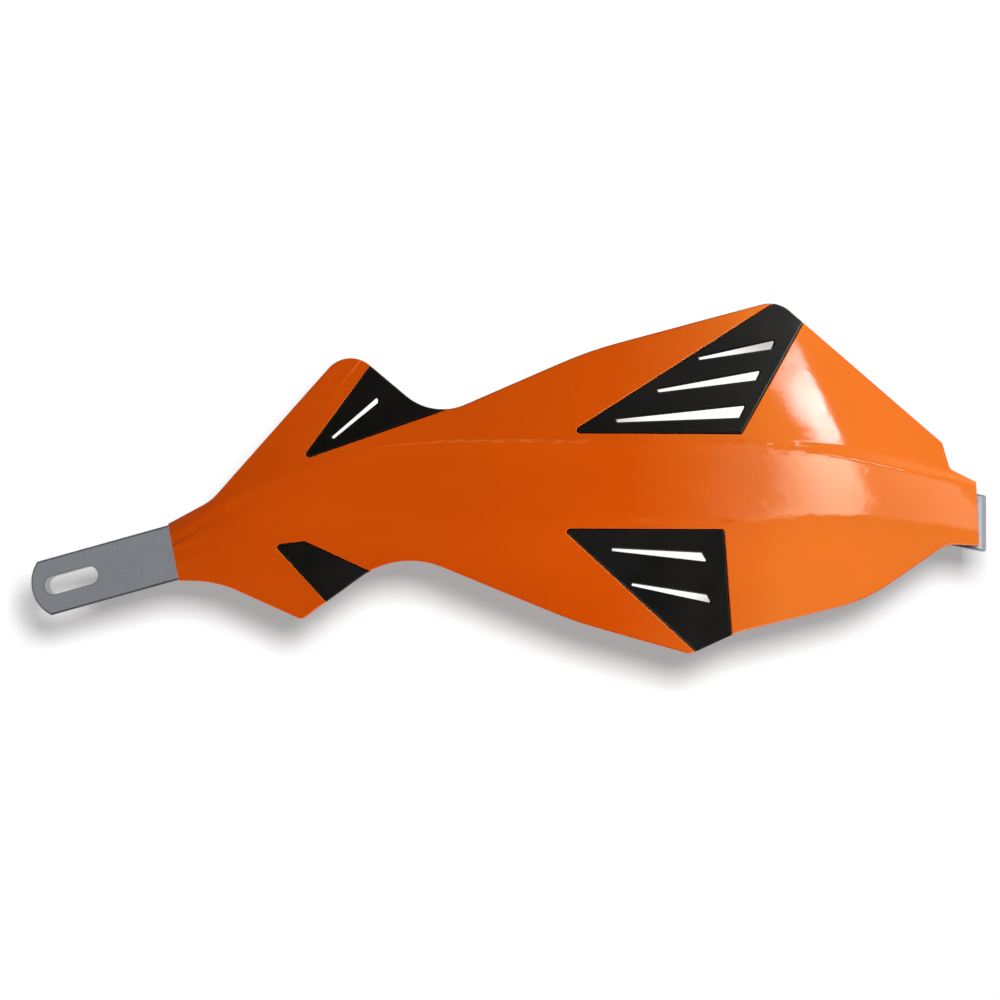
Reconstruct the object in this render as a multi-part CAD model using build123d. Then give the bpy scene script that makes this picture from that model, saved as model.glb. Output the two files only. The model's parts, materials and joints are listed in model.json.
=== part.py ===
from build123d import *
import math
import os

# Left-hand wrap-around hand guard for a motorcycle.
# Origin: centre of the bolt hole in the outer end of the bar, on the handlebar axis.
# +X runs outward along the handlebar, -Y is forward, +Z is up. All sizes in millimetres.

# Flat aluminium bar
BAR_WIDTH = 20.0
BAR_THICKNESS = 6.0
BAR_EDGE_RADIUS = 0.8
BAR_ARC_RADIUS = 480.0
BAR_ARC_HALF_ANGLE = 18.0
BAR_FORWARD_REACH = 73.0
BAR_BEND_RADIUS = 9.0
BAR_INNER_LEG = 37.5
BAR_INNER_END_RADIUS = 13.0
BAR_END_HOLE_DIAMETER = 8.5
BAR_END_HOLE_EDGE = 10.0
SLOT_WIDTH = 6.6
SLOT_LENGTH = 21.0
SLOT_EDGE = 4.6

# Centre line of the bar seen from the front: kinks and the slopes of the two ends
BAR_INNER_KINK = (-225.0, 6.7)
BAR_OUTER_KINK = (-75.0, 13.5)
BAR_INNER_SLOPE = 15.5
BAR_KINK_RADIUS = 160.0

# Shell walls and fits
SHELL_WALL = 3.0
BAR_SEAT_GAP = 0.15
BAR_SIDE_GAP = 0.3
SPINE_BULGE = 6.0
SPINE_BULGE_CENTRE = -145.0
SPINE_BULGE_HALF_LENGTH = 145.0
SPINE_BULGE_LEAST = -0.2
SPINE_CROWN = 0.5
CORNER_REACH = 1.0
CORNER_REACH_LEAST = 0.4
RIM_RADIUS = 0.8

# Wings: height of their feet along the spine, lean, and steps down from the spine
UPPER_FOOT = 28.6
LOWER_FOOT = 0.8
UPPER_FOOT_INNER = (-183.0, 0.00285)
UPPER_FOOT_OUTER = (-80.0, 0.0022)
LOWER_FOOT_INNER = (-203.0, 0.0023)
LOWER_FOOT_OUTER = (-95.0, 0.0008)
WING_LEAN = 17.0
UPPER_INNER_LEAN = 9.0
LOWER_INNER_LEAN = 5.0
OUTER_LEAN = 7.0
STEP_WIDTH = 3.4
STEP_DEPTH = 0.2
UPPER_OUTER_STEP = 3.4
LOWER_OUTER_STEP = 1.8
WING_CROWN = 1.0
INNER_END = (-290.0, -222.0)
OUTER_LEAN_RUN = (-90.0, -5.0)
OUTER_STEP_RUN = (-95.0, -10.0)
WING_REACH = 66.0

# Outline of the shell seen from the front: x, z and corner radius, clockwise from the inner end
OUTLINE = [
    (-290.0, -0.5, 0.0),
    (-274.5, 7.8, 18.0),
    (-225.7, 62.7, 10.5),
    (-195.2, 37.0, 20.0),
    (-139.3, 61.3, 150.0),
    (-72.4, 79.3, 11.0),
    (-13.2, 28.5, 3.0),
    (-10.5, 19.1, 3.0),
    (-1.1, 14.5, 0.0),
    (0.0, -8.4, 0.0),
    (-11.8, -7.9, 10.0),
    (-40.5, -27.8, 60.0),
    (-86.8, -39.3, 6.0),
    (-103.6, -47.0, 5.0),
    (-144.6, -35.4, 150.0),
    (-207.3, -9.6, 30.0),
    (-242.1, -34.8, 3.0),
    (-272.5, -21.1, 40.0),
    (-286.1, -20.9, 0.0),
]

# Pockets and the black inserts in them: outlines run past the shell where the insert ends at its edge
POCKET_DEPTH = 3.1
POCKET_FLOOR = 1.9
POCKET_BORDER = 3.0
INSERT_THICKNESS = 3.0
INSERT_GAP = 0.3
INSERT_EDGE_RADIUS = 0.5
INSERT_CORNER_SPARE = 0.4
VENT_RELIEF = 1.2
VENT_EDGE_RADIUS = 0.6
VENT_CORNER_RADIUS = 0.35
INSERTS = {
    "upper_outer": {
        "outline": [(-147.2, 31.6), (-69.6, 81.2), (-57.4, 81.2), (-85.5, 31.3)],
        "vents": [
            [(-100.6, 58.7), (-73.6, 64.8), (-74.8, 61.8), (-100.4, 57.9)],
            [(-115.4, 47.2), (-78.8, 54.0), (-80.4, 50.7), (-115.0, 46.3)],
            [(-130.0, 36.6), (-84.3, 41.5), (-86.4, 37.3), (-129.8, 35.6)],
        ],
        "screws": [(-136.7, 34.7), (-74.4, 71.6), (-81.6, 46.2)],
    },
    "lower_outer": {
        "outline": [(-149.6, -2.1), (-91.7, -2.3), (-88.0, -49.1), (-98.6, -49.1)],
        "vents": [
            [(-131.9, -9.2), (-99.8, -10.8), (-97.9, -13.9), (-131.4, -10.1)],
            [(-124.8, -21.6), (-97.9, -25.8), (-96.4, -28.6), (-124.4, -22.5)],
        ],
        "screws": [(-138.0, -7.0), (-96.0, -19.6), (-98.0, -37.5)],
    },
    "upper_inner": {
        "outline": [(-242.6, 21.9), (-212.9, 62.3), (-178.6, 58.0), (-187.5, 41.0)],
        "vents": [
            [(-231.2, 30.5), (-215.0, 44.5), (-214.9, 42.6), (-230.7, 29.7)],
        ],
        "screws": [(-218.6, 49.6), (-206.0, 39.6)],
    },
    "lower_inner": {
        "outline": [(-252.1, -7.9), (-240.9, -6.6), (-208.9, -21.3), (-226.8, -35.5)],
        "vents": [],
        "screws": [(-240.0, -13.6), (-229.0, -19.0)],
    },
}

# Shallow step in the upper ear, beside its insert: from where it fades out up past the rim
EAR_STEP_FOOT = (-243.0, 31.0)
EAR_STEP_TOP = (-214.2, 66.0)
EAR_STEP_WIDTH = 12.0
EAR_STEP_DEPTHS = (-0.1, 0.6)
EAR_STEP_SECTIONS = 6

# Self-tapping screws of the inserts
TAP_PILOT_DIAMETER = 2.4
TAP_SHANK_DIAMETER = 2.3
TAP_SHANK_LENGTH = 3.4
TAP_BOSS_DIAMETER = 4.2
TAP_BOSS_GAP = 0.2
TAP_FLANGE_DIAMETER = 7.0
TAP_FLANGE_THICKNESS = 0.8
TAP_HEAD_DIAMETER = 4.6
TAP_HEAD_HEIGHT = 1.5
TAP_RECESS = (2.8, 0.8, 1.0)
TAP_SEAT_GAP = 0.1

# Screws, washers and threaded inserts that hold the shell on the bar
BAR_SCREW_X = {"inner": -235.0, "middle": -150.0, "outer": -58.0}
SCREW_DIAMETER = 5.9
SCREW_HOLE_DIAMETER = 6.6
SCREW_HEAD_DIAMETER = 10.5
SCREW_HEAD_HEIGHT = 3.3
SCREW_HEAD_ROUND = 2.3
SCREW_SOCKET = 4.0
SCREW_SOCKET_DEPTH = 2.2
WASHER_DIAMETER = 12.0
WASHER_THICKNESS = 1.6
WASHER_BORE = 6.4
WASHER_SEAT_GAP = 0.05
NUT_DIAMETER = 8.0
NUT_BORE = 6.1
NUT_LENGTH = 4.6
NUT_POCKET_GAP = 0.1
BOSS_DIAMETER = 13.0

# Room for cutting tools around the model, and the places of the loft sections
FAR = 250.0
CUT_SPARE = 9.0
SLOPE_STEP = 1.0
END_WALL_SLOPE = 0.97
FRONT_SLOPE = 0.3
FRONT_TOLERANCE = 0.75
SIDE_TOLERANCE = 0.001
SECTION_START = -305.0
SECTION_END = 9.0
SECTION_COUNT = 12


def ease(x, start, end):
    """Smooth rise from 0 at start to 1 at end."""
    t = min(max((x - start) / (end - start), 0.0), 1.0)
    return t * t * t * (t * (6 * t - 15) + 10)


# Bar geometry seen from above
ARC_ANGLE = math.radians(BAR_ARC_HALF_ANGLE)
ARC_CENTRE_Y = BAR_ARC_RADIUS - BAR_FORWARD_REACH
BEND_TO_ARC = BAR_ARC_RADIUS - BAR_BEND_RADIUS
ARC_CENTRE_X = -BAR_BEND_RADIUS - BEND_TO_ARC * math.sin(ARC_ANGLE)
BEND_CENTRE_Y = ARC_CENTRE_Y - BEND_TO_ARC * math.cos(ARC_ANGLE)


def bar_angle(x):
    """Angle of the bar from the X axis, seen from above, at a place along its arc."""
    return math.asin((x - ARC_CENTRE_X) / BAR_ARC_RADIUS)


def bar_depth(x):
    """Y of the bar's centre line on its arc."""
    return ARC_CENTRE_Y - BAR_ARC_RADIUS * math.cos(bar_angle(x))


def arc_point(centre, radius, angle):
    """Point on a circle seen from above; angle 0 points forward and positive turns outward."""
    return Vector(centre[0] + radius * math.sin(angle), centre[1] - radius * math.cos(angle))


def bar_edge(offset):
    """Edge line of the bar seen from above, at an offset forward of its centre line."""
    arc = (ARC_CENTRE_X, ARC_CENTRE_Y)
    bend = (-BAR_BEND_RADIUS, BEND_CENTRE_Y)
    big = BAR_ARC_RADIUS + offset
    small = BAR_BEND_RADIUS + offset
    half_turn = (ARC_ANGLE + math.pi / 2) / 2
    inner_start = arc_point(arc, big, -ARC_ANGLE)
    along = Vector(-math.cos(ARC_ANGLE), math.sin(ARC_ANGLE))
    inner_end = inner_start + along * (BAR_INNER_LEG + BAR_WIDTH)
    leg_start = Vector(offset, BEND_CENTRE_Y)
    leg_end = Vector(offset, BAR_END_HOLE_EDGE)
    return [
        Line(inner_end, inner_start),
        ThreePointArc(inner_start, arc_point(arc, big, 0), arc_point(arc, big, ARC_ANGLE)),
        ThreePointArc(arc_point(arc, big, ARC_ANGLE), arc_point(bend, small, half_turn), leg_start),
        Line(leg_start, leg_end),
    ]


def inner_leg_x(distance):
    """X of a point on the straight inner leg, at a distance from where its arc ends."""
    return ARC_CENTRE_X - BAR_ARC_RADIUS * math.sin(ARC_ANGLE) - distance * math.cos(ARC_ANGLE)


def bar_height(x):
    """Z of the bar's centre line seen from the front, on its three straight runs."""
    if x < BAR_INNER_KINK[0]:
        return BAR_INNER_KINK[1] + (x - BAR_INNER_KINK[0]) * math.tan(math.radians(BAR_INNER_SLOPE))
    if x < BAR_OUTER_KINK[0]:
        share = (x - BAR_INNER_KINK[0]) / (BAR_OUTER_KINK[0] - BAR_INNER_KINK[0])
        return BAR_INNER_KINK[1] + share * (BAR_OUTER_KINK[1] - BAR_INNER_KINK[1])
    return BAR_OUTER_KINK[1] * x / BAR_OUTER_KINK[0]


def offset_chain(points, offset):
    """Corner points of a chain of lines moved sideways by an offset, to the left of travel."""
    sides = []
    for a, b in zip(points, points[1:]):
        run = (b - a).normalized()
        side = Vector(-run.Y, run.X) * offset
        sides.append((a + side, b + side, run))
    moved = [sides[0][0]]
    for (a, _, run_a), (c, _, run_c) in zip(sides, sides[1:]):
        cross = run_a.X * run_c.Y - run_a.Y * run_c.X
        gap = c - a
        moved.append(a + run_a * ((gap.X * run_c.Y - gap.Y * run_c.X) / cross))
    moved.append(sides[-1][1])
    return moved


def bar_front_outline(side_gap):
    """Face of the bar seen from the front, grown by a gap at its long edges."""
    inner_x = inner_leg_x(BAR_INNER_LEG + BAR_WIDTH)
    outer_x = BAR_BEND_RADIUS + BAR_THICKNESS
    centre = [Vector(x, bar_height(x)) for x in (inner_x, BAR_INNER_KINK[0], BAR_OUTER_KINK[0], outer_x)]
    half = BAR_WIDTH / 2 + side_gap
    upper = offset_chain(centre, half)
    lower = offset_chain(centre, -half)
    turn_radii = [BAR_KINK_RADIUS - half, BAR_KINK_RADIUS - half]
    outer_radii = [BAR_KINK_RADIUS + half, BAR_KINK_RADIUS + half]
    edges = [
        FilletPolyline(*upper, radius=outer_radii),
        Line(upper[-1], lower[-1]),
        FilletPolyline(*lower, radius=turn_radii),
        Line(lower[0], upper[0]),
    ]
    return Plane.XZ * make_face(edges)


def bar_blank(face_gap, side_gap):
    """The bent flat bar without holes, grown by gaps; its inner end is still square and long."""
    front = bar_edge(BAR_THICKNESS / 2 + face_gap)
    back = bar_edge(-BAR_THICKNESS / 2 - face_gap)
    ends = [Line(front[0] @ 0, back[0] @ 0), Line(front[-1] @ 1, back[-1] @ 1)]
    band = extrude(make_face(front + back + ends), amount=FAR, both=True)
    return band & extrude(bar_front_outline(side_gap), amount=FAR, both=True)


def inner_leg_plane(distance):
    """Plane on the middle of the inner leg: local x runs along the leg towards the guard."""
    x = inner_leg_x(distance)
    start = arc_point((ARC_CENTRE_X, ARC_CENTRE_Y), BAR_ARC_RADIUS, -ARC_ANGLE)
    y = start.Y + distance * math.sin(ARC_ANGLE)
    rise = math.tan(math.radians(BAR_INNER_SLOPE)) * math.cos(ARC_ANGLE)
    along = Vector(math.cos(ARC_ANGLE), -math.sin(ARC_ANGLE), rise)
    forward = Vector(-math.sin(ARC_ANGLE), -math.cos(ARC_ANGLE), 0)
    return Plane(origin=(x, y, bar_height(x)), x_dir=along, z_dir=forward)


def make_bar():
    bar = bar_blank(0.0, 0.0)
    end = inner_leg_plane(BAR_INNER_LEG)
    trim = Pos(BAR_INNER_END_RADIUS, 0) * Circle(BAR_INNER_END_RADIUS)
    trim += Pos(BAR_INNER_END_RADIUS + FAR, 0) * Rectangle(2 * FAR, 2 * BAR_INNER_END_RADIUS)
    keep = extrude(end * trim, amount=BAR_WIDTH, both=True)
    clear_of_end = Pos(FAR + inner_leg_x(0), 0, 0) * Box(2 * FAR, 2 * FAR, 2 * FAR)
    bar &= keep + clear_of_end
    end_face = bar.faces().sort_by(Axis.Y)[-1]
    bar = fillet(end_face.edges().filter_by(Axis.Z, reverse=True), BAR_WIDTH / 2 - BAR_EDGE_RADIUS)
    bar = fillet(bar.edges(), BAR_EDGE_RADIUS)
    slot = inner_leg_plane(BAR_INNER_LEG - SLOT_EDGE - SLOT_LENGTH / 2)
    bar -= extrude(slot * SlotOverall(SLOT_LENGTH, SLOT_WIDTH), amount=BAR_WIDTH, both=True)
    bar -= Plane.YZ * upright_through(BAR_END_HOLE_DIAMETER)
    return bar - [screw_plane(x) * upright_through(SCREW_HOLE_DIAMETER) for x in BAR_SCREW_X.values()]


def upright_through(diameter):
    """Cylinder that runs right through the bar."""
    return Cylinder(diameter / 2, BAR_THICKNESS + 2 * CUT_SPARE)


# Shell surface: sections across the guard at a fixed x, as points in (y, z)


def upper_foot(x):
    inner = max(UPPER_FOOT_INNER[0] - x, 0.0)
    outer = max(x - UPPER_FOOT_OUTER[0], 0.0)
    return UPPER_FOOT - UPPER_FOOT_INNER[1] * inner ** 2 - UPPER_FOOT_OUTER[1] * outer ** 2


def lower_foot(x):
    inner = max(LOWER_FOOT_INNER[0] - x, 0.0)
    outer = max(x - LOWER_FOOT_OUTER[0], 0.0)
    return LOWER_FOOT - LOWER_FOOT_INNER[1] * inner ** 2 - LOWER_FOOT_OUTER[1] * outer ** 2


def spine_front(x):
    """Y of the front of the spine: seated on the bar at both ends and bulging clear of it between."""
    stack = BAR_THICKNESS / 2 + BAR_SEAT_GAP + SHELL_WALL
    share = (x - SPINE_BULGE_CENTRE) / SPINE_BULGE_HALF_LENGTH
    bulge = SPINE_BULGE * max(1 - share ** 2, SPINE_BULGE_LEAST)
    return bar_depth(x) - stack / math.cos(bar_angle(x)) - bulge


def wing_leans(x):
    """Lean of the upper and lower wing from upright, in radians."""
    inner = 1 - ease(x, *INNER_END)
    outer = OUTER_LEAN * ease(x, *OUTER_LEAN_RUN)
    upper = WING_LEAN + UPPER_INNER_LEAN * inner + outer
    lower = WING_LEAN + LOWER_INNER_LEAN * inner + outer
    return math.radians(upper), math.radians(lower)


def section_points(x):
    """Front of the shell at x, from the top down: wing tip, foot, spine edge, edge, foot, tip."""
    front = spine_front(x)
    upper_lean, lower_lean = wing_leans(x)
    rise = ease(x, *OUTER_STEP_RUN)
    upper_step = STEP_DEPTH + UPPER_OUTER_STEP * rise
    lower_step = STEP_DEPTH + LOWER_OUTER_STEP * rise
    top = upper_foot(x)
    bottom = lower_foot(x)
    return [
        Vector(front + upper_step + WING_REACH * math.tan(upper_lean), top + WING_REACH),
        Vector(front + upper_step, top),
        Vector(front, top - STEP_WIDTH),
        Vector(front, bottom + STEP_WIDTH),
        Vector(front + lower_step, bottom),
        Vector(front + lower_step + WING_REACH * math.tan(lower_lean), bottom - WING_REACH),
    ]


def section_chain(x, depth):
    """Edges of a section at a depth behind the front: crowned wings and rounded corners."""
    points = offset_chain(section_points(x), depth)
    stops = [points[0]]
    middles = []
    for before, corner, after in zip(points, points[1:], points[2:]):
        into = (before - corner).normalized()
        out = (after - corner).normalized()
        turn = math.asin(into.Y * out.X - into.X * out.Y)
        reach = max(CORNER_REACH - depth * math.tan(turn / 2), CORNER_REACH_LEAST)
        inset = reach * math.tan(abs(turn) / 4)
        middles.append(corner + (into + out).normalized() * inset)
        stops.extend([corner + into * reach, corner + out * reach])
    stops.append(points[-1])
    places = [Vector(x, p.X, p.Y) for p in stops]
    crown = Vector(0, WING_CROWN, 0)
    edges = [ThreePointArc(places[0], (places[0] + places[1]) / 2 - crown, places[1])]
    for number, middle in enumerate(middles):
        start, end, far = places[2 * number + 1:2 * number + 4]
        edges.append(ThreePointArc(start, Vector(x, middle.X, middle.Y), end))
        if number == 1:
            edges.append(ThreePointArc(end, (end + far) / 2 - Vector(0, SPINE_CROWN, 0), far))
        elif number < len(middles) - 1:
            edges.append(Line(end, far))
    edges.append(ThreePointArc(places[-2], (places[-2] + places[-1]) / 2 - crown, places[-1]))
    return edges


def layer(shallow, deep):
    """Solid between two depths behind the front surface of the shell."""
    wires = []
    for number in range(SECTION_COUNT):
        x = SECTION_START + (SECTION_END - SECTION_START) * number / (SECTION_COUNT - 1)
        front = section_chain(x, shallow)
        back = section_chain(x, deep)
        caps = [Line(front[0] @ 0, back[0] @ 0), Line(front[-1] @ 1, back[-1] @ 1)]
        wires.append(Wire(front + back + caps))
    return Solid.make_loft(wires)


def front_y(x, z):
    """Y of the front of the shell at a place on a wing."""
    points = section_points(x)
    tip, foot = (points[0], points[1]) if z > points[1].Y else (points[-1], points[-2])
    start = foot + (tip - foot).normalized() * CORNER_REACH
    share = (z - start.Y) / (tip.Y - start.Y)
    return start.X + (tip.X - start.X) * share - 4 * WING_CROWN * share * (1 - share)


def surface_plane(x, z):
    """Plane on the front surface with its z axis pointing straight back into the wall."""
    origin = Vector(x, front_y(x, z), z)
    across = Vector(2 * SLOPE_STEP, front_y(x + SLOPE_STEP, z) - front_y(x - SLOPE_STEP, z), 0)
    up = Vector(0, front_y(x, z + SLOPE_STEP) - front_y(x, z - SLOPE_STEP), 2 * SLOPE_STEP)
    return Plane(origin=origin, x_dir=across, z_dir=across.cross(up) * -1)


def screw_plane(x):
    """Plane on the centre line of the bar with its z axis pointing forward, square to the bar."""
    angle = bar_angle(x)
    forward = Vector(math.sin(angle), -math.cos(angle), 0)
    return Plane(origin=(x, bar_depth(x), bar_height(x)), x_dir=(0, 0, 1), z_dir=forward)


def spine_gap(x):
    """Distance from the bar's front face to the back of the spine, square to the bar."""
    return (bar_depth(x) - spine_front(x)) * math.cos(bar_angle(x)) - BAR_THICKNESS / 2 - SHELL_WALL


def prism(face):
    """Front-view face run right through the guard."""
    return extrude(Plane.XZ * face, amount=FAR, both=True)


def outline_face():
    corners = [(x, z) for x, z, _ in OUTLINE]
    return make_face(FilletPolyline(*corners, radius=[r for _, _, r in OUTLINE], close=True))


def rounded_face(corners, radius):
    return make_face(FilletPolyline(*corners, radius=radius, close=True))


def pocket_face(spec, grow):
    """Outline of a pocket, grown or shrunk by an even margin."""
    face = rounded_face(spec["outline"], INSERT_EDGE_RADIUS + INSERT_GAP + INSERT_CORNER_SPARE)
    return offset(face, grow, kind=Kind.ARC) if grow else face


def vent_prisms(spec, grow):
    """Vents of an insert run right through, grown by an even margin."""
    cuts = []
    for corners in spec["vents"]:
        face = rounded_face(corners, VENT_CORNER_RADIUS)
        cuts.append(prism(offset(face, grow, kind=Kind.ARC) if grow else face))
    return cuts


def tap_plane(x, z):
    """Plane of an insert screw: z axis points back, zero at the back of the pocket floor."""
    return surface_plane(x, z).offset(POCKET_DEPTH + POCKET_FLOOR)


def upright(bottom, top, radius):
    """Cylinder between two heights on its own axis."""
    return Pos(0, 0, (bottom + top) / 2) * Cylinder(radius, top - bottom)


def make_shell(bar_room):
    """Moulding with pockets for the inserts in front, and bosses for the bar screws behind."""
    floor = POCKET_DEPTH + POCKET_FLOOR
    hollow = layer(SHELL_WALL, floor + SHELL_WALL)
    hollow -= [prism(pocket_face(spec, POCKET_BORDER)) for spec in INSERTS.values()]
    front = layer(-SHELL_WALL, POCKET_DEPTH)
    cuts = [hollow, bar_room, ear_step()]
    for spec in INSERTS.values():
        cuts.append(front & prism(pocket_face(spec, 0.0)))
        cuts.extend(vent_prisms(spec, VENT_RELIEF))
        for x, z in spec["screws"]:
            cuts.append(tap_plane(x, z) * upright(-floor, floor, TAP_BOSS_DIAMETER / 2 + TAP_BOSS_GAP))
    blank = layer(0.0, floor) & prism(outline_face())
    shell = fillet(long_rim(blank), RIM_RADIUS) - cuts
    shell += [bar_boss(x) for x in BAR_SCREW_X.values()]
    return shell - [nut_pocket(x) for x in BAR_SCREW_X.values()]


def long_rim(blank):
    """Front edges of the shell's outline, without those of the walls at its two ends."""
    side_edges = []
    for face in blank.faces():
        normal = face.normal_at()
        if abs(normal.Y) < SIDE_TOLERANCE and abs(normal.X) < END_WALL_SLOPE:
            side_edges.extend(face.edges())
    rim = []
    for face in blank.faces():
        if face.normal_at().Y < -FRONT_SLOPE:
            rim.extend(e for e in face.edges() if any(e.is_same(side) for side in side_edges))
    return rim


def ear_step():
    """Cutter for the shallow step in the upper ear, as deep as its depth at each place along it."""
    wires = []
    forward = Vector(0, -CUT_SPARE, 0)
    for number in range(EAR_STEP_SECTIONS):
        share = number / (EAR_STEP_SECTIONS - 1)
        x, z = (a + (b - a) * share for a, b in zip(EAR_STEP_FOOT, EAR_STEP_TOP))
        depth = EAR_STEP_DEPTHS[0] + (EAR_STEP_DEPTHS[1] - EAR_STEP_DEPTHS[0]) * share
        near = Vector(x, front_y(x, z) + depth, z)
        far = Vector(x + EAR_STEP_WIDTH, front_y(x + EAR_STEP_WIDTH, z) + depth, z)
        wires.append(Wire(Polyline(near, far, far + forward, near + forward, close=True).edges()))
    return Solid.make_loft(wires, True)


def bar_boss(x):
    """Boss on the back of the spine that reaches the bar's front face."""
    return nut_plane(x) * upright(0, spine_gap(x) + SHELL_WALL / 2, BOSS_DIAMETER / 2)


def nut_pocket(x):
    """Hole in a boss for its threaded insert."""
    return nut_plane(x) * upright(-NUT_LENGTH, NUT_LENGTH, NUT_DIAMETER / 2 + NUT_POCKET_GAP)


def nut_plane(x):
    """Plane on the seat of a boss, z axis forward into the boss."""
    return screw_plane(x).offset(BAR_THICKNESS / 2 + BAR_SEAT_GAP)


def front_rim(part):
    """Edges of a part that lie on the front surface of the shell."""
    rim = []
    for edge in part.edges():
        place = edge @ 0.5
        if abs(place.Y - front_y(place.X, place.Z)) < FRONT_TOLERANCE:
            rim.append(edge)
    return rim


def make_insert(spec, skin):
    """Black moulding that fills a pocket, flush with the shell, with vents and screw bosses."""
    insert = skin & prism(pocket_face(spec, -INSERT_GAP))
    insert = fillet(front_rim(insert), INSERT_EDGE_RADIUS)
    if spec["vents"]:
        insert -= vent_prisms(spec, 0.0)
        insert = fillet(vent_rim(insert, spec), VENT_EDGE_RADIUS)
    floor = POCKET_DEPTH + POCKET_FLOOR
    planes = [tap_plane(x, z) for x, z in spec["screws"]]
    root = INSERT_THICKNESS / 2 - floor
    insert += [plane * upright(root, -TAP_SEAT_GAP, TAP_BOSS_DIAMETER / 2) for plane in planes]
    pilot = upright(-TAP_SHANK_LENGTH - TAP_SEAT_GAP, floor, TAP_PILOT_DIAMETER / 2)
    return insert - [plane * pilot for plane in planes]


def vent_rim(insert, spec):
    """Front edges of the vents of an insert."""
    rim = []
    for edge in front_rim(insert):
        place = edge @ 0.5
        flat = Vector(place.X, place.Z)
        for corners in spec["vents"]:
            grown = offset(make_face(Polyline(*corners, close=True)), VENT_CORNER_RADIUS)
            if grown.is_inside(flat):
                rim.append(edge)
    return rim


def make_tap_screw(x, z):
    """Flanged self-tapping screw, driven from behind the pocket floor."""
    head_top = TAP_FLANGE_THICKNESS + TAP_HEAD_HEIGHT
    body = upright(0, TAP_FLANGE_THICKNESS, TAP_FLANGE_DIAMETER / 2)
    body += upright(0, head_top, TAP_HEAD_DIAMETER / 2)
    body += upright(-TAP_SHANK_LENGTH, 0, TAP_SHANK_DIAMETER / 2)
    length, width, depth = TAP_RECESS
    blade = Pos(0, 0, head_top) * Box(length, width, 2 * depth)
    body -= blade + Rot(0, 0, 90) * blade
    return tap_plane(x, z).offset(TAP_SEAT_GAP) * body


def washer_plane(x):
    """Plane on the back of a washer, z axis forward through the bar."""
    return screw_plane(x).offset(-BAR_THICKNESS / 2 - WASHER_SEAT_GAP - WASHER_THICKNESS)


def make_screw(x):
    """Button-head screw from behind the bar into the threaded insert."""
    shank = WASHER_THICKNESS + BAR_THICKNESS + NUT_LENGTH
    body = upright(0, shank, SCREW_DIAMETER / 2)
    head = upright(-SCREW_HEAD_HEIGHT, 0, SCREW_HEAD_DIAMETER / 2)
    head = fillet(head.edges().group_by(Axis.Z)[0], SCREW_HEAD_ROUND)
    socket = RegularPolygon(SCREW_SOCKET / 2, 6, major_radius=False)
    head -= Pos(0, 0, -SCREW_HEAD_HEIGHT) * extrude(socket, SCREW_SOCKET_DEPTH)
    return washer_plane(x) * (body + head)


def make_washer(x):
    ring = upright(0, WASHER_THICKNESS, WASHER_DIAMETER / 2)
    ring -= upright(-CUT_SPARE, CUT_SPARE, WASHER_BORE / 2)
    return washer_plane(x) * ring


def make_nut(x):
    body = upright(0, NUT_LENGTH, NUT_DIAMETER / 2)
    body -= upright(-CUT_SPARE, CUT_SPARE, NUT_BORE / 2)
    return nut_plane(x) * body


def main():
    os.makedirs("parts", exist_ok=True)
    parts = {"bar": make_bar(), "shell": make_shell(bar_blank(BAR_SEAT_GAP, BAR_SIDE_GAP))}
    skin = layer(0.0, INSERT_THICKNESS) & prism(outline_face())
    for name, spec in INSERTS.items():
        parts["insert_" + name] = make_insert(spec, skin)
        for number, (x, z) in enumerate(spec["screws"], start=1):
            parts[f"insert_screw_{name}_{number}"] = make_tap_screw(x, z)
    for name, x in BAR_SCREW_X.items():
        parts["bar_screw_" + name] = make_screw(x)
        parts["bar_washer_" + name] = make_washer(x)
        parts["threaded_insert_" + name] = make_nut(x)
    for name, part in parts.items():
        export_step(part, f"parts/{name}.step")


main()
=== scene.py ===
import bpy
import json
import math
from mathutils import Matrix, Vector

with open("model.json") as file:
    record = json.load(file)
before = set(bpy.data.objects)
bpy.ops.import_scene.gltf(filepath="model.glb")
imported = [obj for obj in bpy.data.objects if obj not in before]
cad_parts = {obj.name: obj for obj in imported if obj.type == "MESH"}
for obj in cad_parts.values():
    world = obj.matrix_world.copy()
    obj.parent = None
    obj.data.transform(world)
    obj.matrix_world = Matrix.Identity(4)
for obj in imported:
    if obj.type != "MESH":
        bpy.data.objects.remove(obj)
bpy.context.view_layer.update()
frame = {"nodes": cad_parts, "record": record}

# Camera: straight at the front of the guard with a long lens
VIEW_CENTRE = Vector((-0.1714, -0.060, 0.008))
VIEW_WIDTH = 0.3571
LENS = 400.0
SENSOR = 36.0
CLIP_END = 40.0

# Lamps: azimuth from the camera towards the outer end, elevation, distance, width, height, watts,
# and the group of objects that they light
LIGHT_TARGET = Vector((-0.150, -0.065, 0.012))
LAMPS = {
    "key": (60.0, 15.0, 3.0, 1.2, 1.2, 126.0, "guard"),
    "fill": (-60.0, -45.0, 3.0, 1.2, 1.2, 73.0, "guard"),
    "bar_fill": (-36.0, 0.0, 1.8, 1.2, 1.2, 3.4, "bar"),
    "bend_light": (104.0, -4.0, 1.8, 0.5, 0.5, 2.3, "bar"),
    "card_light": (1.0, 2.65, 4.0, 0.24, 0.21, 123.0, "card"),
}

# Small spot on the upper ear and inner end: azimuth, elevation, distance, cone angle, radius, watts
EAR_TARGET = Vector((-0.252, -0.055, 0.036))
EAR_SPOT = (-60.0, 62.0, 1.8, 4.6, 0.01, 52.0)

INSERTS = ("insert_upper_outer", "insert_lower_outer", "insert_upper_inner", "insert_lower_inner")

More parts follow.
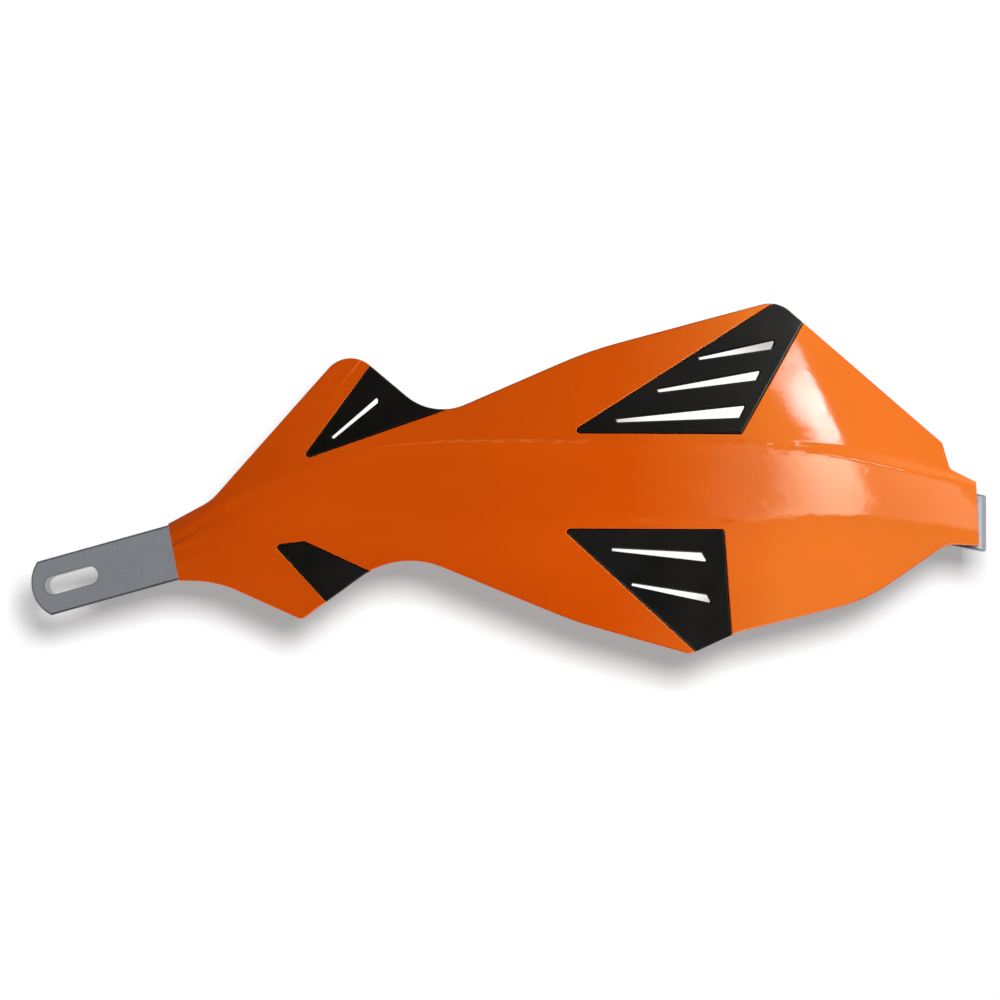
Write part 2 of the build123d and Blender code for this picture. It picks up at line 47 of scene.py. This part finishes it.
# Softboxes that only reflections see: distance, colour, the group that they light, and strips.
# A strip is a lower and an upper row of corners, each with an azimuth, an elevation and a glow.
GLOW_CENTRE = Vector((-0.058, -0.067, 0.030))
GLOW_STEPS = 6
GLOWS = {
    "wing_box": (6.0, (0.9, 1.0, 1.06), "shell", [
        ([(35.5, 29.6, 2.0), (38.2, 29.5, 8.0), (42.0, 29.6, 17.0),
          (45.5, 29.6, 21.0), (49.0, 29.8, 24.0), (50.6, 29.8, 27.0)],
         [(35.5, 30.8, 2.0), (38.8, 31.2, 3.0), (42.2, 31.6, 6.5),
          (45.4, 32.1, 6.0), (48.0, 32.1, 6.0), (49.7, 30.5, 25.0)]),
        ([(37.6, 29.0, 6.0), (41.5, 28.4, 12.0), (45.5, 28.2, 15.0),
          (48.5, 28.6, 15.0), (50.4, 29.4, 25.0)],
         [(38.2, 29.5, 8.0), (42.0, 29.6, 17.0), (45.5, 29.6, 21.0),
          (49.0, 29.8, 24.0), (50.6, 29.8, 27.0)]),
    ]),
    "spine_box": (6.0, (1.0, 1.0, 0.82), "shell", [
        ([(15.0, -13.0, 0.0), (24.0, -13.0, 0.9), (30.0, -13.0, 5.5),
          (33.2, -13.0, 6.0), (35.5, -13.0, 0.5), (47.0, -13.0, 2.2)],
         [(15.0, 12.0, 0.0), (24.5, 12.0, 0.9), (31.0, 12.0, 9.0),
          (35.2, 12.0, 10.0), (37.5, 12.0, 0.7), (49.0, 12.0, 2.2)]),
        ([(15.0, -30.0, 0.0), (24.0, -30.0, 0.0)], [(15.0, -13.0, 0.0), (24.0, -13.0, 0.9)]),
        ([(24.0, -22.0, 0.0), (34.0, -22.0, 0.0)], [(24.0, -13.0, 0.9), (33.2, -13.0, 6.0)]),
        ([(35.5, -28.0, 0.0), (50.0, -28.0, 0.0)], [(35.5, -13.0, 0.5), (47.0, -13.0, 2.2)]),
        ([(26.0, 12.0, 1.5), (35.2, 12.0, 10.0)], [(31.5, 20.0, 6.0), (35.5, 20.0, 11.0)]),
        ([(31.5, 20.0, 6.0), (35.5, 20.0, 11.0)], [(33.0, 23.0, 0.0), (36.0, 23.0, 0.0)]),
    ]),
    "sheen_box": (6.0, (1.0, 1.0, 1.0), "inserts", [
        ([(8.0, 26.0, 0.0), (20.0, 26.0, 0.3), (45.0, 26.0, 0.5)],
         [(8.0, 45.0, 0.0), (20.0, 45.0, 0.3), (45.0, 45.0, 0.5)]),
    ]),
    "edge_boxes": (6.0, (1.0, 1.0, 1.0), "inserts", [
        ([(65.0, -10.0, 6.0), (115.0, -10.0, 6.0)], [(65.0, 40.0, 6.0), (115.0, 40.0, 6.0)]),
        ([(0.0, 62.0, 2.0), (90.0, 62.0, 2.0)], [(0.0, 85.0, 2.0), (90.0, 85.0, 2.0)]),
        ([(-90.0, -85.0, 3.0), (90.0, -85.0, 3.0)], [(-90.0, -60.0, 3.0), (90.0, -60.0, 3.0)]),
    ]),
    "rim_box": (6.0, (1.0, 1.0, 1.0), "shell", [
        ([(30.0, -85.0, 4.0), (110.0, -85.0, 4.0)], [(30.0, -55.0, 4.0), (110.0, -55.0, 4.0)]),
    ]),
    "warm_wall": (8.0, (1.0, 0.86, 0.17), "shell", [
        ([(8.0, -75.0, 0.0), (32.0, -75.0, 3.0), (66.0, -75.0, 3.0)],
         [(8.0, 80.0, 0.0), (32.0, 80.0, 3.0), (66.0, 80.0, 3.0)]),
        ([(66.0, -75.0, 3.0), (84.0, -75.0, 0.0)], [(66.0, 38.0, 3.0), (84.0, 38.0, 0.0)]),
        ([(66.0, 38.0, 3.0), (84.0, 38.0, 0.0), (118.0, 38.0, 0.0)],
         [(66.0, 50.0, 3.0), (84.0, 50.0, 2.6), (118.0, 50.0, 2.6)]),
        ([(66.0, 50.0, 3.0), (84.0, 50.0, 2.6), (118.0, 50.0, 2.6)],
         [(66.0, 80.0, 3.0), (84.0, 80.0, 2.6), (118.0, 80.0, 2.6)]),
    ]),
    "ridge_strip": (5.0, (1.0, 0.60, 0.15), "shell", [
        ([(-32.0, 22.0, 0.0), (-20.0, 21.6, 2.0), (3.0, 21.2, 2.0)],
         [(-32.0, 25.0, 0.0), (-20.0, 24.6, 2.0), (3.0, 24.2, 2.0)]),
    ]),
}

# Stage: a floor, a card behind the guard, and spots of painted light that glow on the card in the
# guard's shadow, where the vents show the card
# (x, z, half width, half height; they fade between the given shares of that size)
PALE = (0.93, 0.93, 0.93)
FLOOR_Z = -0.185
FLOOR_HALF = 4.0
BACKDROP_Y = 0.150
BACKDROP_SIDES = (-2.2, 1.9)
BACKDROP_TOP = 2.0
CARD_GLOW = 0.330
# Glow of the spots of painted light, added to the card's own glow
PAINTED_SPOT_GLOW = 0.62
PAINTED_SPOT_FADE = (1.3, 0.8)
PAINTED_LIGHT_SPOTS = [
    (-0.100, 0.051, 0.035, 0.0185),
    (-0.112, -0.019, 0.025, 0.0145),
    (-0.2245, 0.038, 0.0145, 0.0125),
]

# World: colour in front of the guard and behind it, and the depths between which it changes
ROOM_FRONT = (0.02, 0.02, 0.022)
ROOM_BEHIND = (0.80, 0.80, 0.80)
ROOM_DEPTHS = (-0.4, 0.8)
WHITE = (1.0, 1.0, 1.0)

# Bands in which most of a noise lies
BAND = (0.35, 0.65)
WIDE_BAND = (0.30, 0.70)

# Cosine of the turn between the rounded and the true normal, on an open face and on an edge
# where the painted edge highlight is full
EDGE_COSINES = (0.97, 0.80)
BEVEL_SAMPLES = 6

# Base colours
ORANGE_DARK = (0.640, 0.074, 0.0010)
ORANGE_LIGHT = (0.700, 0.088, 0.0016)
ORANGE_SPECK = (0.80, 0.16, 0.010)
# Paler orange painted on the shell's edges: a painted highlight
ORANGE_EDGE_HIGHLIGHT = (0.86, 0.21, 0.030)
BLACK_DARK = (0.0060, 0.0059, 0.0052)
BLACK_LIGHT = (0.0095, 0.0088, 0.0074)
# Grey painted on the inserts' edges: a painted highlight
BLACK_EDGE_HIGHLIGHT = (0.110, 0.108, 0.105)
BAR_DARK = (0.39, 0.41, 0.45)
BAR_LIGHT = (0.49, 0.51, 0.55)
BAR_DULL = (0.35, 0.37, 0.41)
# Brighter colour painted on the bar's edges: a painted highlight
BAR_EDGE_HIGHLIGHT = (0.72, 0.73, 0.75)
ZINC_DARK = (0.50, 0.51, 0.53)
ZINC_LIGHT = (0.64, 0.65, 0.66)
BRASS_DARK = (0.58, 0.38, 0.13)
BRASS_LIGHT = (0.72, 0.50, 0.20)
# Gain of the brighter colour painted on the fasteners' edges: a painted highlight
PLATED_EDGE_HIGHLIGHT_GAIN = 1.3

# Direction in which the bar's inner leg is brushed
BRUSH_SLOPE = 15.5
BRUSH_TURN = -18.0


# Node helpers


def new_material(name):
    material = bpy.data.materials.new(name)
    material.use_nodes = True
    material.node_tree.nodes.clear()
    return material


def add(tree, kind, **values):
    """New node; a value sets the input with that name, with _ for a space, or else the property."""
    node = tree.nodes.new(kind)
    for key, value in values.items():
        socket = node.inputs.get(key.replace("_", " "))
        if socket is None:
            setattr(node, key, value)
        else:
            socket.default_value = value
    return node


def noise(tree, vector, scale=1.0, detail=3.0, roughness=0.5):
    node = add(tree, "ShaderNodeTexNoise", Scale=scale, Detail=detail, Roughness=roughness)
    tree.links.new(vector, node.inputs["Vector"])
    return node.outputs["Fac"]


def stretched(tree, vector, scale):
    """Coordinates scaled by a different factor along each axis."""
    node = add(tree, "ShaderNodeMapping", Scale=scale)
    tree.links.new(vector, node.inputs["Vector"])
    return node.outputs["Vector"]


def ranged(tree, value, band, result=(0.0, 1.0)):
    """Value mapped from the band to the result's range, held at the ends."""
    node = tree.nodes.new("ShaderNodeMapRange")
    for socket, limit in zip(node.inputs[1:5], (*band, *result)):
        socket.default_value = limit
    tree.links.new(value, node.inputs[0])
    return node.outputs[0]


def maths(tree, operation, first, second):
    node = add(tree, "ShaderNodeMath", operation=operation)
    for socket, value in zip(node.inputs, (first, second)):
        if isinstance(value, float):
            socket.default_value = value
        else:
            tree.links.new(value, socket)
    return node.outputs[0]


def mixed(tree, factor, first, second):
    """Colour between two colours."""
    node = add(tree, "ShaderNodeMix", data_type="RGBA")
    tree.links.new(factor, node.inputs["Factor"])
    for socket, value in zip(node.inputs[6:8], (first, second)):
        if isinstance(value, tuple):
            socket.default_value = (*value, 1.0)
        else:
            tree.links.new(value, socket)
    return node.outputs[2]


def bumped(tree, height, strength, distance, normal):
    """Normal with a height added to it."""
    node = add(tree, "ShaderNodeBump", Strength=strength, Distance=distance)
    tree.links.new(height, node.inputs["Height"])
    tree.links.new(normal, node.inputs["Normal"])
    return node.outputs["Normal"]


def edge_mask(tree, radius):
    """Mask that is 1 on outside edges and 0 on open faces, and the rounded normal it comes from."""
    bevel = add(tree, "ShaderNodeBevel", samples=BEVEL_SAMPLES, Radius=radius)
    geometry = add(tree, "ShaderNodeNewGeometry")
    dot = add(tree, "ShaderNodeVectorMath", operation="DOT_PRODUCT")
    tree.links.new(bevel.outputs["Normal"], dot.inputs[0])
    tree.links.new(geometry.outputs["Normal"], dot.inputs[1])
    return ranged(tree, dot.outputs["Value"], EDGE_COSINES), bevel.outputs["Normal"]


def painted_edge_highlight(tree, mask, share, base, colour):
    """Base colour with part of a paler colour painted on the edges as a painted highlight."""
    return mixed(tree, maths(tree, "MULTIPLY", mask, share), base, colour)


def surface(tree, base, roughness, normal, **constants):
    shader = add(tree, "ShaderNodeBsdfPrincipled", **constants)
    output = add(tree, "ShaderNodeOutputMaterial")
    tree.links.new(base, shader.inputs["Base Color"])
    tree.links.new(roughness, shader.inputs["Roughness"])
    tree.links.new(normal, shader.inputs["Normal"])
    tree.links.new(shader.outputs["BSDF"], output.inputs["Surface"])


# Materials


def orange_plastic():
    """Glossy moulded plastic: slight flow variation, orange peel, scuffs, and a painted highlight
    on edges.
    """
    material = new_material("orange_plastic_moulded")
    tree = material.node_tree
    place = add(tree, "ShaderNodeTexCoord").outputs["Object"]
    flow = noise(tree, stretched(tree, place, scale=(9.0, 20.0, 26.0)), detail=4.0)
    fine = noise(tree, place, scale=900.0, detail=2.0)
    peel = noise(tree, place, scale=420.0, detail=2.0)
    streaks = stretched(tree, place, scale=(60.0, 300.0, 900.0))
    scuffs = noise(tree, streaks, detail=5.0, roughness=0.65)
    edge_highlight_mask, rounded = edge_mask(tree, radius=0.0006)
    base = mixed(tree, ranged(tree, flow, BAND), ORANGE_DARK, ORANGE_LIGHT)
    specks = ranged(tree, fine, band=(0.55, 0.80), result=(0.0, 0.10))
    base = mixed(tree, specks, base, ORANGE_SPECK)
    # Painted highlight: edges mixed towards the paler orange
    base = painted_edge_highlight(tree, edge_highlight_mask, 0.30, base, ORANGE_EDGE_HIGHLIGHT)
    smooth = ranged(tree, flow, WIDE_BAND, result=(0.05, 0.075))
    scuffed = ranged(tree, scuffs, band=(0.58, 0.72), result=(0.0, 0.04))
    rough = maths(tree, "ADD", smooth, scuffed)
    normal = bumped(tree, peel, strength=0.04, distance=0.0002, normal=rounded)
    normal = bumped(tree, fine, strength=0.06, distance=0.00008, normal=normal)
    surface(tree, base, rough, normal, IOR=1.49)
    return material


def black_plastic():
    """Fine-grained satin black moulding, with a paler painted highlight on its edges."""
    material = new_material("black_plastic_grained")
    tree = material.node_tree
    place = add(tree, "ShaderNodeTexCoord").outputs["Object"]
    grain = noise(tree, place, scale=1900.0, roughness=0.6)
    cloud = noise(tree, place, scale=55.0)
    edge_highlight_mask, rounded = edge_mask(tree, radius=0.0005)
    base = mixed(tree, ranged(tree, cloud, BAND), BLACK_DARK, BLACK_LIGHT)
    # Painted highlight: edges mixed towards the grey
    base = painted_edge_highlight(tree, edge_highlight_mask, 0.55, base, BLACK_EDGE_HIGHLIGHT)
    satin = ranged(tree, cloud, WIDE_BAND, result=(0.24, 0.30))
    grained = ranged(tree, grain, band=(0.40, 0.70), result=(0.0, 0.06))
    rough = maths(tree, "ADD", satin, grained)
    normal = bumped(tree, grain, strength=0.22, distance=0.0001, normal=rounded)
    surface(tree, base, rough, normal, IOR=1.5)
    return material


def bar_aluminium():
    """Satin aluminium bar, brushed along its length, with dull clouds and a painted highlight on
    edges.
    """
    material = new_material("bar_aluminium_brushed")
    tree = material.node_tree
    place = add(tree, "ShaderNodeTexCoord").outputs["Object"]
    turn = (0.0, math.radians(BRUSH_SLOPE), math.radians(BRUSH_TURN))
    turned = add(tree, "ShaderNodeMapping", Rotation=turn)
    tree.links.new(place, turned.inputs["Vector"])
    strokes = stretched(tree, turned.outputs["Vector"], scale=(25.0, 1800.0, 1800.0))
    brush = noise(tree, strokes, detail=4.0, roughness=0.6)
    cloud = noise(tree, place, scale=40.0, detail=4.0)
    edge_highlight_mask, rounded = edge_mask(tree, radius=0.0005)
    base = mixed(tree, ranged(tree, brush, WIDE_BAND), BAR_DARK, BAR_LIGHT)
    dull = ranged(tree, cloud, band=(0.45, 0.75), result=(0.0, 0.4))
    base = mixed(tree, dull, base, BAR_DULL)
    # Painted highlight: edges mixed towards the brighter colour
    base = painted_edge_highlight(tree, edge_highlight_mask, 0.5, base, BAR_EDGE_HIGHLIGHT)
    rough = ranged(tree, brush, WIDE_BAND, result=(0.34, 0.46))
    normal = bumped(tree, brush, strength=0.12, distance=0.0001, normal=rounded)
    surface(tree, base, rough, normal, Metallic=1.0)
    return material


def plated_metal(name, dark, light, roughness):
    """Turned or plated metal of the fasteners, with cloudy plating and a painted highlight on
    edges.
    """
    material = new_material(name)
    tree = material.node_tree
    place = add(tree, "ShaderNodeTexCoord").outputs["Object"]
    cloud = noise(tree, place, scale=260.0, detail=4.0)
    fine = noise(tree, place, scale=2400.0, detail=2.0)
    edge_highlight_mask, rounded = edge_mask(tree, radius=0.0003)
    base = mixed(tree, ranged(tree, cloud, BAND), dark, light)
    # Painted highlight: a brighter copy of the light colour for the edges
    edge_highlight_colour = tuple(min(1.0, channel * PLATED_EDGE_HIGHLIGHT_GAIN) for channel in light)
    base = painted_edge_highlight(tree, edge_highlight_mask, 0.4, base, edge_highlight_colour)
    rough = ranged(tree, cloud, WIDE_BAND, result=roughness)
    normal = bumped(tree, fine, strength=0.08, distance=0.00005, normal=rounded)
    surface(tree, base, rough, normal, Metallic=1.0)
    return material


def dress_nodes():
    """Gives every CAD node the material of its slot."""
    materials = {
        "bar_aluminium": bar_aluminium(),
        "orange_plastic": orange_plastic(),
        "black_plastic": black_plastic(),
        "zinc_steel": plated_metal("zinc_steel_plated", ZINC_DARK, ZINC_LIGHT, (0.24, 0.36)),
        "brass": plated_metal("brass_turned", BRASS_DARK, BRASS_LIGHT, (0.26, 0.38)),
    }
    slots = {item["node"]: item["material_slot"] for item in frame["record"]["subparts"]}
    for name, node in frame["nodes"].items():
        node.data.materials.clear()
        node.data.materials.append(materials[slots[name]])


# Stage


def pale_material(name):
    material = new_material(name)
    tree = material.node_tree
    shader = add(tree, "ShaderNodeBsdfDiffuse", Color=(*PALE, 1.0))
    output = add(tree, "ShaderNodeOutputMaterial")
    tree.links.new(shader.outputs["BSDF"], output.inputs["Surface"])
    return material


def painted_light_spots(tree):
    """Spots of painted light on the card, glowing in the guard's shadow where the vents show it."""
    place = add(tree, "ShaderNodeTexCoord").outputs["Object"]
    total = None
    for x, z, half_width, half_height in PAINTED_LIGHT_SPOTS:
        moved = add(tree, "ShaderNodeMapping", vector_type="TEXTURE")
        moved.inputs["Location"].default_value = (x, BACKDROP_Y, z)
        moved.inputs["Scale"].default_value = (half_width, 1.0, half_height)
        tree.links.new(place, moved.inputs["Vector"])
        length = add(tree, "ShaderNodeVectorMath", operation="LENGTH")
        tree.links.new(moved.outputs["Vector"], length.inputs[0])
        spot = ranged(tree, length.outputs["Value"], PAINTED_SPOT_FADE)
        total = spot if total is None else maths(tree, "MAXIMUM", total, spot)
    return total


def backdrop_material():
    """Pale card seen from its front side only, with painted light spots in the guard's shadow."""
    material = new_material("backdrop_pale")
    tree = material.node_tree
    diffuse = add(tree, "ShaderNodeBsdfDiffuse", Color=(*PALE, 1.0))
    glow = add(tree, "ShaderNodeEmission")
    # Painted light: glow of the spots, added where the guard's shadow lies behind the vents
    painted_spots = maths(tree, "MULTIPLY", painted_light_spots(tree), PAINTED_SPOT_GLOW)
    tree.links.new(maths(tree, "ADD", painted_spots, CARD_GLOW), glow.inputs["Strength"])
    both = add(tree, "ShaderNodeAddShader")
    clear = add(tree, "ShaderNodeBsdfTransparent")
    side = add(tree, "ShaderNodeNewGeometry")
    choice = add(tree, "ShaderNodeMixShader")
    output = add(tree, "ShaderNodeOutputMaterial")
    tree.links.new(diffuse.outputs["BSDF"], both.inputs[0])
    tree.links.new(glow.outputs["Emission"], both.inputs[1])
    tree.links.new(side.outputs["Backfacing"], choice.inputs["Fac"])
    tree.links.new(both.outputs["Shader"], choice.inputs[1])
    tree.links.new(clear.outputs["BSDF"], choice.inputs[2])
    tree.links.new(choice.outputs["Shader"], output.inputs["Surface"])
    return material


def sheet(name, corners, material):
    """Stage piece that throws no light back on the guard and doesn't shade it."""
    mesh = bpy.data.meshes.new(name)
    mesh.from_pydata(corners, [], [tuple(range(len(corners)))])
    mesh.materials.append(material)
    obj = bpy.data.objects.new(name, mesh)
    bpy.context.scene.collection.objects.link(obj)
    obj.visible_shadow = False
    obj.visible_diffuse = False
    obj.visible_glossy = False
    obj.visible_transmission = False
    return obj


def make_stage():
    """Pale floor, and a pale card behind the guard that takes its shadow."""
    near, far = -FLOOR_HALF, FLOOR_HALF
    corners = [(near, near), (far, near), (far, far), (near, far)]
    sheet("floor", [(x, y, FLOOR_Z) for x, y in corners], pale_material("stage_pale"))
    left, right = BACKDROP_SIDES
    corners = [(left, FLOOR_Z), (right, FLOOR_Z), (right, BACKDROP_TOP), (left, BACKDROP_TOP)]
    return sheet("backdrop", [(x, BACKDROP_Y, z) for x, z in corners], backdrop_material())


# Light and camera


def lit_group(name, objects, state):
    """Collection of the objects that a lamp lights, or of those that it leaves out."""
    group = bpy.data.collections.new(name)
    for obj in objects:
        group.objects.link(obj)
    for item in group.collection_objects:
        item.light_linking.link_state = state
    return group


def light_groups(card):
    nodes = frame["nodes"]
    return {
        "guard": lit_group("all_but_card", [card], "EXCLUDE"),
        "card": lit_group("card_only", [card], "INCLUDE"),
        "bar": lit_group("bar_only", [nodes["bar"]], "INCLUDE"),
        "shell": lit_group("shell_only", [nodes["shell"]], "INCLUDE"),
        "inserts": lit_group("inserts_only", [nodes[name] for name in INSERTS], "INCLUDE"),
    }


def aim(obj, place, target):
    obj.location = place
    obj.rotation_mode = "QUATERNION"
    obj.rotation_quaternion = (target - place).to_track_quat("-Z", "Y")


def direction(azimuth, elevation):
    """Unit vector from the guard: azimuth 0 at the camera, positive towards the outer end."""
    turn, rise = math.radians(azimuth), math.radians(elevation)
    level = math.cos(rise)
    return Vector((math.sin(turn) * level, -math.cos(turn) * level, math.sin(rise)))


def make_lamps(groups):
    """Area lamps. Only the metal bar mirrors the lamps that light it."""
    for name, values in LAMPS.items():
        azimuth, elevation, distance, width, height, watts, lights = values
        lamp = bpy.data.lights.new(name, "AREA")
        lamp.shape = "RECTANGLE"
        lamp.size = width
        lamp.size_y = height
        lamp.energy = watts
        obj = bpy.data.objects.new(name, lamp)
        bpy.context.scene.collection.objects.link(obj)
        aim(obj, LIGHT_TARGET + direction(azimuth, elevation) * distance, LIGHT_TARGET)
        obj.light_linking.receiver_collection = groups[lights]
        obj.visible_glossy = lights == "bar"


def make_ear_spot(groups):
    azimuth, elevation, distance, cone, radius, watts = EAR_SPOT
    lamp = bpy.data.lights.new("ear_spot", "SPOT")
    lamp.energy = watts
    lamp.spot_size = math.radians(cone)
    lamp.spot_blend = 1.0
    lamp.shadow_soft_size = radius
    obj = bpy.data.objects.new("ear_spot", lamp)
    bpy.context.scene.collection.objects.link(obj)
    aim(obj, EAR_TARGET + direction(azimuth, elevation) * distance, EAR_TARGET)
    obj.light_linking.receiver_collection = groups["shell"]
    obj.visible_glossy = False


def glow_material(name, colour):
    """Glow that adds to what lies behind it."""
    material = new_material(name)
    tree = material.node_tree
    glow = add(tree, "ShaderNodeAttribute", attribute_name="glow")
    shader = add(tree, "ShaderNodeEmission", Color=(*colour, 1.0))
    clear = add(tree, "ShaderNodeBsdfTransparent")
    both = add(tree, "ShaderNodeAddShader")
    output = add(tree, "ShaderNodeOutputMaterial")
    tree.links.new(glow.outputs["Fac"], shader.inputs["Strength"])
    tree.links.new(shader.outputs["Emission"], both.inputs[0])
    tree.links.new(clear.outputs["BSDF"], both.inputs[1])
    tree.links.new(both.outputs["Shader"], output.inputs["Surface"])
    return material


def strip_patches(lower, upper):
    """The four corners of each patch in a strip, in turn."""
    return zip(lower, lower[1:], upper[1:], upper)


def glow_points(corners):
    """Rows of points between the four corners of a patch."""
    first, second, third, fourth = (Vector(corner) for corner in corners)
    points = []
    for row in range(GLOW_STEPS + 1):
        start = first.lerp(fourth, row / GLOW_STEPS)
        end = second.lerp(third, row / GLOW_STEPS)
        points += [start.lerp(end, column / GLOW_STEPS) for column in range(GLOW_STEPS + 1)]
    return points


def glow_faces(first):
    """Faces of a patch whose points begin at the given number."""
    width = GLOW_STEPS + 1
    steps = range(GLOW_STEPS)
    starts = [first + row * width + column for row in steps for column in steps]
    return [(start, start + 1, start + width + 1, start + width) for start in starts]


def make_glows(groups):
    """Softboxes that only reflections see; their glow varies from corner to corner."""
    for name, (distance, colour, lights, strips) in GLOWS.items():
        points = []
        faces = []
        for lower, upper in strips:
            for patch in strip_patches(lower, upper):
                faces += glow_faces(len(points))
                points += glow_points(patch)
        places = [GLOW_CENTRE + direction(point.x, point.y) * distance for point in points]
        mesh = bpy.data.meshes.new(name)
        mesh.from_pydata(places, [], faces)
        glow = mesh.attributes.new("glow", "FLOAT", "POINT")
        glow.data.foreach_set("value", [point.z for point in points])
        mesh.materials.append(glow_material(name, colour))
        obj = bpy.data.objects.new(name, mesh)
        bpy.context.scene.collection.objects.link(obj)
        obj.light_linking.receiver_collection = groups[lights]
        obj.visible_camera = False
        obj.visible_diffuse = False
        obj.visible_shadow = False


def make_world():
    """White for the camera; for the object a dim room in front of it and a pale one behind."""
    world = bpy.data.worlds.new("studio")
    bpy.context.scene.world = world
    world.use_nodes = True
    tree = world.node_tree
    tree.nodes.clear()
    place = add(tree, "ShaderNodeTexCoord").outputs["Generated"]
    split = add(tree, "ShaderNodeSeparateXYZ")
    tree.links.new(place, split.inputs["Vector"])
    depth = ranged(tree, split.outputs["Y"], ROOM_DEPTHS)
    room = mixed(tree, depth, ROOM_FRONT, ROOM_BEHIND)
    rays = add(tree, "ShaderNodeLightPath")
    colour = mixed(tree, rays.outputs["Is Camera Ray"], room, WHITE)
    background = add(tree, "ShaderNodeBackground", Strength=1.0)
    output = add(tree, "ShaderNodeOutputWorld")
    tree.links.new(colour, background.inputs["Color"])
    tree.links.new(background.outputs["Background"], output.inputs["Surface"])


def make_camera():
    camera = bpy.data.cameras.new("camera")
    camera.lens = LENS
    camera.sensor_width = SENSOR
    camera.clip_end = CLIP_END
    obj = bpy.data.objects.new("camera", camera)
    bpy.context.scene.collection.objects.link(obj)
    distance = VIEW_WIDTH * LENS / SENSOR
    aim(obj, VIEW_CENTRE + Vector((0.0, -distance, 0.0)), VIEW_CENTRE)
    bpy.context.scene.camera = obj


dress_nodes()
groups = light_groups(make_stage())
make_lamps(groups)
make_ear_spot(groups)
make_glows(groups)
make_world()
make_camera()
bpy.context.scene.view_settings.view_transform = "Standard"
